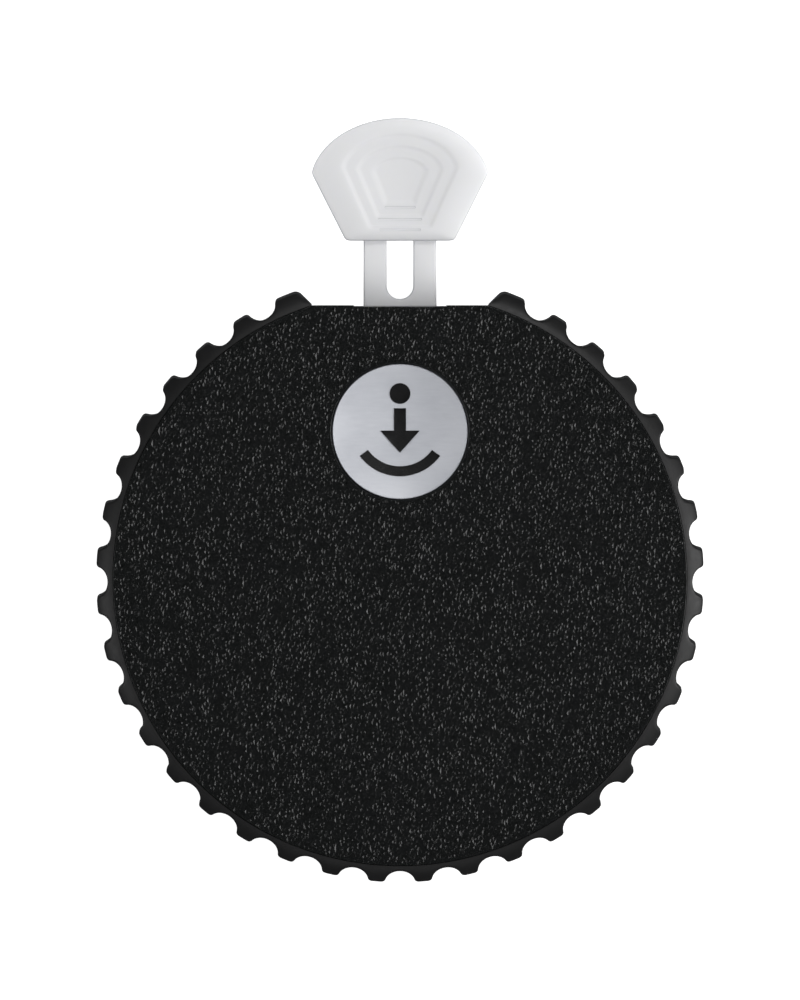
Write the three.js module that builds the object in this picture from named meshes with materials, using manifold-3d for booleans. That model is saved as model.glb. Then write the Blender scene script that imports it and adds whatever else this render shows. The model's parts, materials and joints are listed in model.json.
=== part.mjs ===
// Handheld magnetic security tag detacher: a round puck with a scalloped grip band, a sprung round
// pad over a magnet, and a pull tab that slides the magnet under the pad (out) or away from it (in).
// Millimetres, +Z up out of the face, +Y towards the tab, origin at the middle of the foot pad's sole.
import * as THREE from 'three';
import { mergeVertices } from 'three/addons/utils/BufferGeometryUtils.js';
import Module from 'manifold-3d';

const wasm = await Module();
wasm.setup();

// ---- driving dimensions ----
const GAP = 0.2; // clearance between pieces that touch
const FACE_Z = 20; // top face
const SPLIT_Z = 10; // parting plane of the two covers
const UNDER_Z = 0.6; // underside of the bottom cover
const FLOOR_Z = 3.0; // inside of the bottom cover
const ROOF_Z = 18.0; // inside of the top cover

const TIP_R = 38.2; // grip band over the teeth, at its foot
const TIP_DRAFT = 0.2; // how far the teeth lean in towards the face
const SEAT_R = 35.6; // outside of the covers, where the band sits
const WALL_R = 33.0; // inside of the covers
const FILLET = 2.1; // rounded shoulder of the band
const BAND_Z = 1.0; // foot of the band
const PITCHES = 40; // notches in a full turn
const MISSING = 2; // notches left out each side of +Y, for the flat
const NOTCH_R = 1.9; // radius of one notch
const NOTCH_DEPTH = 1.85; // at the foot of the band
const NOTCH_DRAFT = 0.2; // how much further out the notch floors are at the face
const RIB_R = 34.2; // groove in the covers that holds the band's inner rib
const RIB_HALF = 1.3; // half height of that groove

const FLAT_Y = 34.2; // flat cut across the rim
const FLAT_HALF = 11.0; // half width of the flat
const FLAT_WALL = 2.2; // wall thickness behind the flat

const NECK_HALF = 4.6; // tab neck, half width
const NECK_Z = [8.5, 11.5];
const MOUTH_HALF = 4.87;
const MOUTH_Z = [8.2, 11.8];
const RELIEF_HALF = 5.8; // shallow relief around the mouth
const RELIEF_DEPTH = 0.2;
const SLOT_HALF = 1.65; // lanyard slot in the neck
const SLOT_END_Y = 34.9;
const FAN_Z = [7, 13]; // thumb head of the tab
const FAN_BEVEL = 1.0;
const STEP_DEPTH = 0.4; // each terrace of the thumb recess
const TRAVEL = 7.8; // how far the tab slides in

const PAD_Y = 18.4; // centre of pad and magnet
const PAD_R = 8.4;
const FLANGE_R = 9.8;
const PAD_HOLE_R = 8.55;

const CUP_R = 8.5;
const CUP_Z = [5.4, 14.6];
const RING_R = 10.5; // carrier ring around the cup
const RUNNER_X = 12.6; // outer face of the carrier's runners
const NOTCH_Y = 16.4; // detent, and the notch that is in it at rest
const RAIL_X = [11.0, 14.1];
const RAIL_Y = [1.0, 27.6];
const RAIL_Z = [6.5, 14.6];
const DECK_Z = [14.9, 15.5];

const CASE_SCREWS = [[24, 8], [-24, 8], [15, -19], [-15, -19]];
const DECK_SCREWS = [[16.6, 23.5], [-16.6, 23.5], [16.6, 3], [-16.6, 3]];
const FOOT_R = 29;
const ROUND = 64; // facets around the covers and inside the band

// ---- materials ----
function material(color, roughness, metalness = 0) {
  return new THREE.MeshStandardMaterial({ color, roughness, metalness });
}
const BLACK_TEXTURED = material(0x1b1c1e, 0.75);
const BLACK_SOFT = material(0x202123, 0.5);
const MILKY_WHITE = material(0xe2e4ea, 0.4);
const WHITE_PAD = material(0xc8ccd8, 0.35);
const STEEL = material(0x9a9da2, 0.35, 1);
const NICKEL = material(0xb9bcc0, 0.25, 1);
const SPRING_STEEL = material(0x80858c, 0.3, 1);
const BRASS = material(0xb08d45, 0.35, 1);
const ACETAL = material(0xd8d4c6, 0.5);
const RUBBER = material(0x28282a, 0.9);

// ---- solids ----
// A geometry as a manifold solid, with its faces turned outwards.
function solid(geometry) {
  const source = geometry.clone();
  source.deleteAttribute('normal');
  source.deleteAttribute('uv');
  const merged = mergeVertices(source, 1e-4);
  return new wasm.Manifold(new wasm.Mesh({
    numProp: 3,
    vertProperties: merged.attributes.position.array,
    triVerts: outward(merged),
  }));
}

// The triangle corners of a closed geometry, reversed if they face inwards.
function outward(geometry) {
  const index = Uint32Array.from(geometry.index.array);
  const at = geometry.attributes.position;
  const corner = [new THREE.Vector3(), new THREE.Vector3(), new THREE.Vector3()];
  let volume = 0;
  for (let i = 0; i < index.length; i += 3) {
    corner.forEach((point, k) => point.fromBufferAttribute(at, index[i + k]));
    volume += corner[0].dot(corner[1].cross(corner[2]));
  }
  if (volume < 0) {
    index.reverse();
  }
  return index;
}

function geometryOf(body) {
  const mesh = body.getMesh();
  const geometry = new THREE.BufferGeometry();
  geometry.setAttribute('position', new THREE.BufferAttribute(new Float32Array(mesh.vertProperties), 3));
  geometry.setIndex(new THREE.BufferAttribute(new Uint32Array(mesh.triVerts), 1));
  geometry.computeVertexNormals();
  return geometry;
}

function box(x, y, z) {
  const size = [x, y, z].map(([low, high]) => Math.abs(high - low));
  const middle = [x, y, z].map(([low, high]) => (low + high) / 2);
  return solid(new THREE.BoxGeometry(...size).translate(...middle));
}

// A flat outline, as [x, y] points or a THREE.Shape, raised from z[0] to z[1].
function prism(outline, z, segments = 12) {
  const points = (list) => list.map(([x, y]) => new THREE.Vector2(x, y));
  const shape = Array.isArray(outline) ? new THREE.Shape(points(outline)) : outline;
  const options = { depth: z[1] - z[0], bevelEnabled: false, curveSegments: segments };
  return solid(new THREE.ExtrudeGeometry(shape, options).translate(0, 0, z[0]));
}

// A profile of [radius, z] points turned about an upright axis through (x, y).
function lathe(profile, segments = 32, x = 0, y = 0) {
  const points = profile.map(([r, z]) => new THREE.Vector2(r, z));
  return solid(new THREE.LatheGeometry(points, segments).rotateX(Math.PI / 2).translate(x, y, 0));
}

function cylinder(radius, z, x = 0, y = 0, segments = 32) {
  return lathe([[0, z[0]], [radius, z[0]], [radius, z[1]], [0, z[1]]], segments, x, y);
}

function tube(inner, outer, z, x = 0, y = 0, segments = 32) {
  const profile = [[inner, z[0]], [outer, z[0]], [outer, z[1]], [inner, z[1]], [inner, z[0]]];
  return lathe(profile, segments, x, y);
}

// Rings of [x, y, z] points with equal counts, skinned from the first to the last and capped.
function loft(rings) {
  const count = rings[0].length;
  const index = [];
  for (let k = 0; k + 1 < rings.length; k += 1) {
    for (let i = 0; i < count; i += 1) {
      const a = k * count + i;
      const b = k * count + (i + 1) % count;
      index.push(a, b, b + count, a, b + count, a + count);
    }
  }
  const outline = rings[0].map(([x, y]) => new THREE.Vector2(x, y));
  const last = (rings.length - 1) * count;
  for (const [a, b, c] of THREE.ShapeUtils.triangulateShape(outline, [])) {
    index.push(a, c, b, last + a, last + b, last + c);
  }
  const geometry = new THREE.BufferGeometry();
  geometry.setAttribute('position', new THREE.Float32BufferAttribute(rings.flat(2), 3));
  geometry.setIndex(index);
  return solid(geometry);
}

function part(name, body, look, x = 0, y = 0) {
  const mesh = new THREE.Mesh(geometryOf(body), look);
  mesh.name = name;
  mesh.position.set(x, y, 0);
  return mesh;
}

const MIRROR = [['left', -1], ['right', 1]];

// ---- covers ----
// The wall behind the flat: its flanks run inwards at 45 degrees from the flat's corners.
function flatWall(z) {
  const inner = FLAT_HALF - FLAT_WALL;
  return prism([
    [-FLAT_HALF, FLAT_Y], [-inner, FLAT_Y - FLAT_WALL], [inner, FLAT_Y - FLAT_WALL], [FLAT_HALF, FLAT_Y],
  ], z);
}

function beyondFlat() {
  return box([-40, 40], [FLAT_Y, 45], [-1, FACE_Z + 1]);
}

// What the tab's mouth and the relief around it take out of the flat wall.
function mouth() {
  const opening = box([-MOUTH_HALF, MOUTH_HALF], [30, 36], MOUTH_Z);
  const relief = box([-RELIEF_HALF, RELIEF_HALF], [FLAT_Y - RELIEF_DEPTH, 36], [MOUTH_Z[0] - 1, FACE_Z + 1]);
  return opening.add(relief);
}

function topCover() {
  const low = SPLIT_Z + GAP / 2;
  let cover = lathe([
    [0, ROOF_Z], [WALL_R, ROOF_Z], [WALL_R, low], [RIB_R, low], [RIB_R, SPLIT_Z + RIB_HALF],
    [SEAT_R, SPLIT_Z + RIB_HALF], [SEAT_R, FACE_Z], [0, FACE_Z],
  ], ROUND);
  cover = cover.subtract(beyondFlat()).add(flatWall([low, FACE_Z]));
  for (const [x, y] of CASE_SCREWS) {
    cover = cover.add(cylinder(3.4, [10.4, ROOF_Z + 0.5], x, y, 16));
    cover = cover.subtract(cylinder(2.2, [10, 16.2], x, y, 16));
  }
  for (const [x, y] of DECK_SCREWS) {
    cover = cover.add(cylinder(2.4, [DECK_Z[1] + GAP, ROOF_Z + 0.5], x, y, 12));
    cover = cover.subtract(cylinder(1.1, [15, 17.8], x, y, 12));
  }
  const keyway = PAD_Y + FLANGE_R;
  for (const [, side] of MIRROR) {
    cover = cover.add(box([side * 1.5, side * 2.5], [keyway + 0.3, keyway + 1.4], [15.9, ROOF_Z + 0.5]));
  }
  cover = cover.subtract(cylinder(PAD_HOLE_R, [17, FACE_Z + 1], 0, PAD_Y, 36));
  return part('top_cover', cover.subtract(mouth()), BLACK_TEXTURED);
}

function bottomCover() {
  const high = SPLIT_Z - GAP / 2;
  const recess = FOOT_R + GAP + 0.1;
  let cover = lathe([
    [0, 1.5], [recess, 1.5], [recess, UNDER_Z], [SEAT_R - 1, UNDER_Z], [SEAT_R, UNDER_Z + 1],
    [SEAT_R, SPLIT_Z - RIB_HALF], [RIB_R, SPLIT_Z - RIB_HALF], [RIB_R, high], [WALL_R, high],
    [WALL_R, FLOOR_Z], [0, FLOOR_Z],
  ], ROUND);
  cover = cover.subtract(beyondFlat()).add(flatWall([UNDER_Z, high]));
  for (const [, side] of MIRROR) {
    cover = cover.add(railSeat(side));
    cover = cover.add(box([side * 5.2, side * 9.2], [28.6, 32.5], [FLOOR_Z - 0.5, 7.9]));
  }
  for (const [x, y] of CASE_SCREWS) {
    cover = cover.add(cylinder(3.8, [FLOOR_Z - 0.5, high], x, y, 16));
    cover = cover.subtract(cylinder(2.8, [1, 3.6], x, y, 16));
    cover = cover.subtract(cylinder(1.5, [3, 11], x, y, 12));
  }
  return part('bottom_cover', cover.subtract(mouth()), BLACK_SOFT);
}

// Shelf, outer rib and two end ribs that hold one guide rail.
function railSeat(side) {
  const x = [side * RAIL_X[0], side * 15.4];
  const root = FLOOR_Z - 0.5;
  const shelf = box(x, [RAIL_Y[0] - 1.2, RAIL_Y[1] + 1.2], [root, RAIL_Z[0] - GAP]);
  const rib = box([side * (RAIL_X[1] + GAP), x[1]], [RAIL_Y[0] - 1.2, RAIL_Y[1]], [root, 12.8]);
  const back = box(x, [RAIL_Y[0] - 1.2, RAIL_Y[0] - GAP], [root, 12.8]);
  const front = box([x[0], side * 14.6], [RAIL_Y[1] + GAP, RAIL_Y[1] + 1.2], [root, 12.8]);
  return shelf.add(rib).add(back).add(front);
}

// ---- grip band ----
// Corner points of the toothed outline at one height, as [angle, radius]. The teeth lean in towards the
// face and the rounded notches get shallower there; by the flat the outline is plain round.
function toothedOutline(z) {
  const points = [];
  const pitch = 2 * Math.PI / PITCHES;
  const height = (z - BAND_Z) / (FACE_Z - BAND_Z);
  const tip = TIP_R - TIP_DRAFT * height;
  const centre = TIP_R - NOTCH_DEPTH + NOTCH_DRAFT * height + NOTCH_R;
  for (let n = -MISSING; n <= MISSING; n += 1) {
    points.push([Math.PI / 2 + n * pitch, tip]);
  }
  for (let n = MISSING + 1; n < PITCHES - MISSING; n += 1) {
    const middle = Math.PI / 2 + n * pitch;
    points.push([middle - 0.0585, tip]);
    for (let k = -2; k <= 2; k += 1) {
      const turn = k * 0.6;
      const along = NOTCH_R * Math.sin(turn);
      const radial = centre - NOTCH_R * Math.cos(turn);
      points.push([middle + Math.atan2(along, radial), Math.hypot(along, radial)]);
    }
    points.push([middle + 0.0585, tip]);
  }
  return points;
}

function gripBand() {
  const layers = [];
  for (const corner of [0, 0.5, 1]) {
    const turn = corner * Math.PI / 2;
    layers.push([BAND_Z + FILLET * (1 - Math.cos(turn)), FILLET * (1 - Math.sin(turn))]);
  }
  for (const corner of [1, 0.5, 0]) {
    const turn = corner * Math.PI / 2;
    layers.push([FACE_Z - FILLET * (1 - Math.cos(turn)), FILLET * (1 - Math.sin(turn))]);
  }
  const rings = layers.map(([z, inset]) => toothedOutline(z).map(([angle, radius]) => {
    const r = Math.min(radius, TIP_R - inset);
    return [r * Math.cos(angle), r * Math.sin(angle), z];
  }));
  const inside = SEAT_R + GAP;
  const rib = [SPLIT_Z - RIB_HALF + GAP, SPLIT_Z + RIB_HALF - GAP];
  const core = lathe([
    [0, -1], [inside, -1], [inside, rib[0]], [RIB_R + GAP, rib[0]], [RIB_R + GAP, rib[1]], [inside, rib[1]],
    [inside, FACE_Z + 1], [0, FACE_Z + 1],
  ], ROUND);
  const corner = FLAT_HALF + GAP;
  const away = prism([
    [-corner - 6, FLAT_Y + 6], [-corner, FLAT_Y], [-corner + 4, FLAT_Y - 4],
    [corner - 4, FLAT_Y - 4], [corner, FLAT_Y], [corner + 6, FLAT_Y + 6],
  ], [-1, FACE_Z + 1]);
  return part('grip_band', loft(rings).subtract(core).subtract(away), BLACK_SOFT);
}

// ---- pull tab ----
// Fan outline: straight bottom, two straight sides, and an elliptical top through the side corners.
function fan(bottom, bottomHalf, corner, cornerHalf, top) {
  const centre = corner - 0.7 * (cornerHalf / 11.15);
  const half = cornerHalf * 1.0045;
  const rise = top - centre;
  const start = Math.asin((corner - centre) / rise);
  const shape = new THREE.Shape();
  shape.moveTo(-bottomHalf, bottom);
  shape.lineTo(bottomHalf, bottom);
  shape.lineTo(cornerHalf, corner);
  shape.absellipse(0, centre, half, rise, start, Math.PI - start, false, 0);
  return shape;
}

function thumbHead() {
  const shrunk = fan(42.2 + FAN_BEVEL, 6.82 - 0.62 * FAN_BEVEL, 50.7, 11.15 - FAN_BEVEL, 57.7 - FAN_BEVEL);
  const options = {
    depth: FAN_Z[1] - FAN_Z[0] - 2 * FAN_BEVEL,
    bevelThickness: FAN_BEVEL,
    bevelSize: FAN_BEVEL,
    bevelSegments: 1,
    curveSegments: 12,
  };
  const head = solid(new THREE.ExtrudeGeometry(shrunk, options).translate(0, 0, FAN_Z[0] + FAN_BEVEL));
  const terraces = [
    fan(43.9, 3.6, 51.6, 7.4, 55.8),
    fan(44.8, 2.75, 51.3, 5.5, 54.3),
    fan(46.3, 1.9, 51.0, 3.65, 52.8),
  ];
  return terraces.reduce((body, outline, step) => {
    const floor = FAN_Z[1] - STEP_DEPTH * (step + 1);
    return body.subtract(prism(outline, [floor, FAN_Z[1] + 1], 8));
  }, head);
}

function neck() {
  const plate = box([-NECK_HALF, NECK_HALF], [28, 43.5], NECK_Z);
  const slot = new THREE.Shape();
  const centre = SLOT_END_Y + SLOT_HALF;
  slot.moveTo(SLOT_HALF, 42.2);
  slot.lineTo(-SLOT_HALF, 42.2);
  slot.absarc(0, centre, SLOT_HALF, Math.PI, 2 * Math.PI, false);
  return plate.subtract(prism(slot, [NECK_Z[0] - 1, NECK_Z[1] + 1]));
}

// Ring that holds the magnet's cup, its shoulder plate, and the two notched runners.
function carrier() {
  const wings = [[10, RUNNER_X, [8.9, 11.1], [10.0, 25.8]], [18, 9.5, NECK_Z, [PAD_Y, 28.75]]];
  let body = cylinder(RING_R, [4.4, 13.5], 0, PAD_Y, 36);
  for (const [, half, z, y] of wings) {
    body = body.add(box([-half, half], y, z));
  }
  for (const [, side] of MIRROR) {
    for (const y of [NOTCH_Y, NOTCH_Y + TRAVEL]) {
      const x = side * RUNNER_X;
      body = body.subtract(prism([[x - side * 0.8, y], [x + side, y - 1.8], [x + side, y + 1.8]], [8, 12]));
    }
  }
  body = body.subtract(cylinder(CUP_R + GAP, [CUP_Z[0] - GAP, 14], 0, PAD_Y, 36));
  return body.subtract(cylinder(7.0, [4, 6], 0, PAD_Y, 28));
}

function pullTab() {
  return part('pull_tab', carrier().add(neck()).add(thumbHead()), MILKY_WHITE);
}

// ---- magnet ----
function magnetParts() {
  const [low, high] = CUP_Z;
  const cup = lathe([
    [0, low], [CUP_R - 0.4, low], [CUP_R, low + 0.4], [CUP_R, high], [7.2, high], [7.2, low + 2], [0, low + 2],
  ], 32);
  return [
    part('steel_cup', cup, STEEL, 0, PAD_Y),
    part('ring_magnet', tube(3.3, 6.9, [low + 2.2, high - 0.8], 0, 0, 28), NICKEL, 0, PAD_Y),
    part('core_pole', cylinder(3.0, [low + 2.2, high], 0, 0, 24), STEEL, 0, PAD_Y),
    part('magnet_cap', tube(3.3, 6.9, [high - 0.6, high], 0, 0, 28), BRASS, 0, PAD_Y),
  ];
}

// ---- pad ----
function nestPad() {
  const profile = [
    [0, 17.0], [FLANGE_R, 17.0], [FLANGE_R, 17.8], [PAD_R, 17.8], [PAD_R, 19.9], [PAD_R - 0.25, 20.1],
    [7.9, 20.0], [7.55, 19.65], [5.2, 19.35], [2.6, 19.22], [0, 19.18],
  ];
  const key = box([-1.2, 1.2], [FLANGE_R - 0.6, FLANGE_R + 1.1], [17.0, 17.8]);
  return part('nest_pad', lathe(profile, 36).add(key), WHITE_PAD, 0, PAD_Y);
}

// A flat strip bent into a ring with three waves.
function waveSpring() {
  const steps = 36;
  const [inner, outer, thick] = [8.0, 9.4, 0.3];
  const low = DECK_Z[1] + 0.1;
  const high = 16.9;
  const corners = [];
  const index = [];
  for (let i = 0; i < steps; i += 1) {
    const angle = 2 * Math.PI * i / steps;
    const z = (low + high) / 2 + (high - low - thick) / 2 * Math.cos(3 * angle);
    for (const [r, rise] of [[inner, -thick], [outer, -thick], [outer, thick], [inner, thick]]) {
      corners.push(r * Math.cos(angle), r * Math.sin(angle), z + rise / 2);
    }
    for (let k = 0; k < 4; k += 1) {
      const a = 4 * i + k;
      const b = 4 * i + (k + 1) % 4;
      const c = (b + 4) % (4 * steps);
      const d = (a + 4) % (4 * steps);
      index.push(a, b, c, a, c, d);
    }
  }
  const geometry = new THREE.BufferGeometry();
  geometry.setAttribute('position', new THREE.Float32BufferAttribute(corners, 3));
  geometry.setIndex(index);
  return part('wave_spring', solid(geometry), SPRING_STEEL, 0, PAD_Y);
}

function deckPlate() {
  const outline = [[-19, -1], [19, -1], [19, 25.5], [14, 29], [-14, 29], [-19, 25.5]];
  let plate = prism(outline, DECK_Z);
  for (const [x, y] of DECK_SCREWS) {
    plate = plate.subtract(cylinder(1.2, [14, 16], x, y, 16));
  }
  return part('deck_plate', plate, STEEL);
}

// ---- slide ----
function guideRail(name, side) {
  const [inner, outer] = RAIL_X;
  let rail = box([side * inner, side * outer], RAIL_Y, RAIL_Z);
  rail = rail.subtract(box([side * (inner - 1), side * (RUNNER_X + 0.3)], [0, 29], [8.6, 11.4]));
  rail = rail.subtract(box([side * inner, side * (outer + 1)], [NOTCH_Y - 5.3, NOTCH_Y + 5.3], [8.6, 11.4]));
  return part(name, rail, ACETAL);
}

// Leaf spring bowed along the rail, its middle pressed into a V that sits in the runner's notch.
function detentSpring(name, side) {
  const half = [[13.7, 5.0], [13.2, 2.6], [12.95, 1.1], [12.3, 0]];
  const path = [...half.map(([x, y]) => [x, -y]), ...half.slice(0, 3).reverse()];
  const front = path.map(([x, y]) => [side * x, NOTCH_Y + y]);
  const back = path.map(([x, y]) => [side * (x + 0.3), NOTCH_Y + y]).reverse();
  return part(name, prism([...front, ...back], [8.9, 11.1]), SPRING_STEEL);
}

function stopBumper(name, side) {
  return part(name, box([side * 5.3, side * 8.5], [28.9, 31.8], [8.1, 11.9]), RUBBER);
}

// ---- fasteners and foot ----
function screw(name, x, y, headR, shankR, headZ, tipZ) {
  const socket = headR * 0.5;
  const [low, high] = headZ;
  const body = lathe([
    [0, low + 0.8], [socket, low + 0.8], [socket, low], [headR, low], [headR, high], [shankR, high],
    [shankR, tipZ - 0.5], [shankR - 0.5, tipZ], [0, tipZ],
  ], 12);
  return part(name, body, STEEL, x, y);
}

function threadedInsert(name, x, y) {
  const body = lathe([
    [1.4, 10.7], [2.0, 10.7], [2.0, 12.8], [1.8, 13.0], [1.8, 13.4], [2.0, 13.6], [2.0, 15.7], [1.4, 15.7],
    [1.4, 10.7],
  ], 12);
  return part(name, body, BRASS, x, y);
}

function footPad() {
  return part('foot_pad', lathe([[0, 0], [FOOT_R - 0.4, 0], [FOOT_R, 0.4], [FOOT_R, 1.2], [0, 1.2]], 48), RUBBER);
}

// ---- assembly ----
const detacher = new THREE.Group();
const housing = new THREE.Group();
const slider = new THREE.Group();
const press = new THREE.Group();
detacher.add(housing, slider, press);

housing.add(bottomCover(), topCover(), gripBand(), footPad(), deckPlate(), waveSpring());
for (const [hand, side] of MIRROR) {
  housing.add(guideRail(`guide_rail_${hand}`, side));
  housing.add(detentSpring(`detent_spring_${hand}`, side));
  housing.add(stopBumper(`stop_bumper_${hand}`, side));
}
CASE_SCREWS.forEach(([x, y], i) => {
  housing.add(screw(`case_screw_${i + 1}`, x, y, 2.5, 1.2, [1.8, 3.4], 14.5));
  housing.add(threadedInsert(`threaded_insert_${i + 1}`, x, y));
});
DECK_SCREWS.forEach(([x, y], i) => {
  housing.add(screw(`deck_screw_${i + 1}`, x, y, 1.9, 0.9, [13.3, 14.7], 17.5));
});
slider.add(pullTab(), ...magnetParts());
press.add(nestPad());

export default detacher;
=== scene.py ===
"""Looks of the handheld security tag detacher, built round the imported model.

Shapes are worked out in millimetres in the model's own frame (+Z out of the face, +Y towards the
tab) and scaled to metres when a piece is made.
"""
import json
import math
import random

import bmesh
import bpy
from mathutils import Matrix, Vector
from mathutils.geometry import delaunay_2d_cdt


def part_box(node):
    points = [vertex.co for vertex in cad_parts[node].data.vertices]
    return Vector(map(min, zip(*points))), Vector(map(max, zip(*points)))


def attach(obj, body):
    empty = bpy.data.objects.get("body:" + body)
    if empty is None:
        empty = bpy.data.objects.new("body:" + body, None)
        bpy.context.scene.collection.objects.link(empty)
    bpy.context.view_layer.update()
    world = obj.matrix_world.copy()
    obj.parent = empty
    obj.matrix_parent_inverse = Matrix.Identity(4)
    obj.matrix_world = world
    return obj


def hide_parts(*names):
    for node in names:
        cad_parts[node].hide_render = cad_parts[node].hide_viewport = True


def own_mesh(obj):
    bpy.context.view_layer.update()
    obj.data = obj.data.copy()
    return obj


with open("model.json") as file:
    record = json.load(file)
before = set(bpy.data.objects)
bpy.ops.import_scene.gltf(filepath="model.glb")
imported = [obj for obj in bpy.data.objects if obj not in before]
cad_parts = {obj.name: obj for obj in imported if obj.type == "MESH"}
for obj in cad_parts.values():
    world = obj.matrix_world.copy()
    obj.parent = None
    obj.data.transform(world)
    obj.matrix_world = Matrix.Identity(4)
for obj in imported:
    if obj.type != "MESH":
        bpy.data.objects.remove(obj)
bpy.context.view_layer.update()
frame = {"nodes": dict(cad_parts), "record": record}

MM = 0.001
TAU = 2 * math.pi
SMOOTH_DEG = 32.0  # edges between faces that meet at less than this are shaded smooth


def cad(node):
    """Lowest and highest corner of a CAD node, in millimetres."""
    return [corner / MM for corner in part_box(node)]


# ---- sizes, in millimetres ----
FACE_Z = cad("top_cover")[1].z
FLAT_Y = cad("top_cover")[1].y
UNDER_Z = cad("bottom_cover")[0].z
SPLIT_Z = 10.0
SEAM = 0.1  # half of the gap at the parting line
SEAM_SET_BACK = 0.22  # how far the upper cover's flat leans in, down to the parting line
LOWER_SET_BACK = 0.4  # how far the lower cover's flat stands behind the upper one's top edge
COVER_R = 35.88
WALL_R = 33.0
ROOF_Z = 18.0
FLOOR_Z = 3.0
ROOT_Z = FLOOR_Z - 0.2  # foot of what stands on the floor, sunk in a little
FLAT_HALF = 11.0
FLAT_WALL = 2.2
TIP_R = 38.25  # at the foot of the band
BAND_R = 35.94
BAND_LOW, BAND_HIGH = cad("grip_band")[0].z, FACE_Z
FOOT_ROUND = 2.1  # height of the round at the foot of the band
SLOPES = (12, 41)  # of the band's shoulder, in degrees, at its inner and outer edge
SLOPE_SHARE = 0.93  # of the band's width that slopes; the rest is a tight round
SLOPE_STRETCH = 1.1  # how much deeper the shoulder is than its slopes alone make it
RIB_DEPTH = 1.1  # of the band's inner rib, which the covers grip at their seam
RIB_HALF = 1.1  # half of the rib's height
PITCHES = 40
MISSING = 2  # notches left out each side of +Y
NOTCH_R = 1.9
NOTCH_DEPTH = 1.87  # at the foot of the band
TIP_DRAFT = 0.2  # how far the teeth lean in towards the face
NOTCH_DRAFT = 0.2  # how much further out the notch floors are at the face
NOTCH_DRIFT = 0.42  # how far the notches at the sides stand away from the tab, off an even pitch
TOOTH_ROUND = 0.65
PEAK_ROUND = 1.0  # end teeth, beside the flat
MOUTH_HALF = 4.87
MOUTH_Z = (8.2, 11.8)
RELIEF_HALF = 5.8
RELIEF_DEPTH = 0.2
RELIEF_ABOVE = 0.8  # from the top of the mouth to the relief
FLANGE_R = 9.8
PAD_Y = cad("nest_pad")[0].y + FLANGE_R
PAD_R = 8.4
PAD_TOP = cad("nest_pad")[1].z
PAD_HOLE_R = 8.5
DISH_R = 8.36
DISH_DEPTH = 1.6
NECK_HALF = 4.58
NECK_Z = (8.5, 11.5)
SLOT_HALF = 1.65
SLOT_END_Y = 34.9
HEAD_Z = (7.0, 12.6)
HEAD_Y = 42.2
STEP = 0.18  # drop of each terrace in the thumb recess
CROWN = 0.3  # rise of the head from its edge to the recess
GRAIN = 0.47  # pitch of the moulded grain on the face
GRAIN_WIDTH = 0.27
GRAIN_RISE = 0.13
GRAIN_MARGINS = (0.23, 0.1, 0.02)  # plain strips along the flat, the rim and the pad's hole


# ---- mesh helpers ----
def raw_mesh(name, shape):
    """A shape's surfaces as a mesh, in metres."""
    mesh = bpy.data.meshes.new(name)
    mesh.from_pydata([Vector(v) * MM for v in shape.verts], [], shape.faces)
    return mesh


def join_surfaces(bm):
    """Merges the vertices that surfaces share, and turns all faces outwards."""
    bmesh.ops.remove_doubles(bm, verts=bm.verts, dist=1e-7)
    bmesh.ops.recalc_face_normals(bm, faces=bm.faces)


def smooth_by_angle(bm, degrees):
    for face in bm.faces:
        face.smooth = True
    for edge in bm.edges:
        if len(edge.link_faces) == 2:
            edge.smooth = edge.calc_face_angle() < math.radians(degrees)


def adopt(name, mesh, body, smooth_deg=SMOOTH_DEG, replaces=()):
    """Cleans a mesh up and makes it a piece of the object."""
    bm = bmesh.new()
    bm.from_mesh(mesh)
    join_surfaces(bm)
    smooth_by_angle(bm, smooth_deg)
    bm.to_mesh(mesh)
    bm.free()
    piece = bpy.data.objects.new(name, mesh)
    bpy.context.scene.collection.objects.link(piece)
    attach(piece, body)
    if replaces:
        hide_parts(*replaces)
    return piece


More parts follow.
